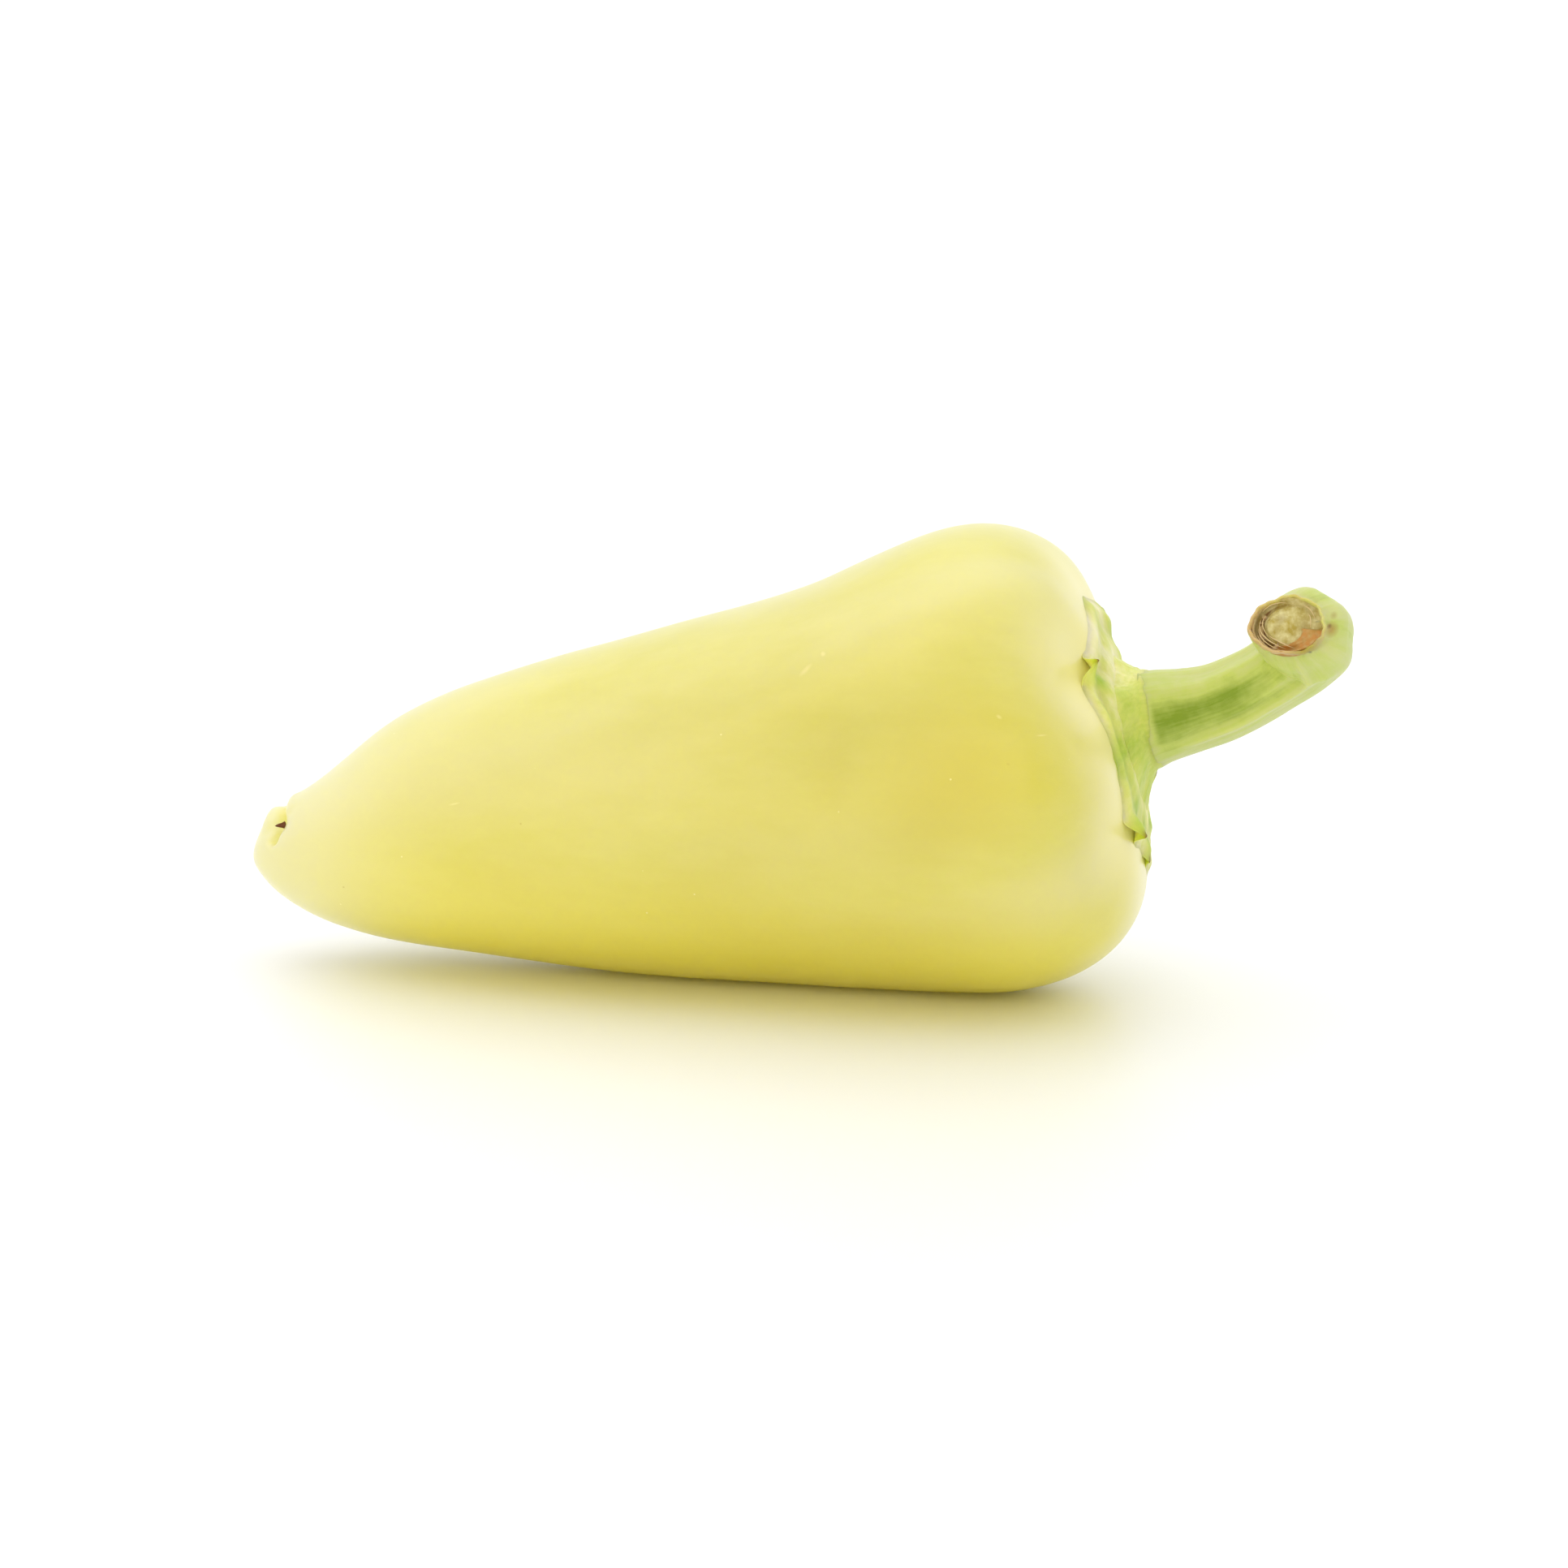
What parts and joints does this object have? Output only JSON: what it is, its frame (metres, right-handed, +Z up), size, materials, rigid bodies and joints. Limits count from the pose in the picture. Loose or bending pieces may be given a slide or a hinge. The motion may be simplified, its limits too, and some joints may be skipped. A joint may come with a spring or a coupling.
{
  "type": "sweet pepper",
  "caption": "Pale yellow conical pepper lying on its side, with a green toothed calyx and a hooked green stem.",
  "frame": {"origin": "middle of the underside of the whole pepper's box, on the surface it lies on", "axes": "+X from the blossom end to the stem end, +Z up, the stem's hook towards -Y"},
  "size_m": [0.1372, 0.0556, 0.0576],
  "materials": {
    "waxy_skin": "smooth waxy pepper skin, pale yellow, soft gloss",
    "calyx_green": "fleshy pale green calyx, satin",
    "stem_green": "fibrous green stem, satin, with a dry brown cut end",
    "dry_brown": "dry brown plant tissue, matt"
  },
  "bodies": {
    "root": {"pod": "waxy_skin", "calyx": "calyx_green", "stem": "stem_green", "style_remnant": "dry_brown"}
  },
  "joints": []
}
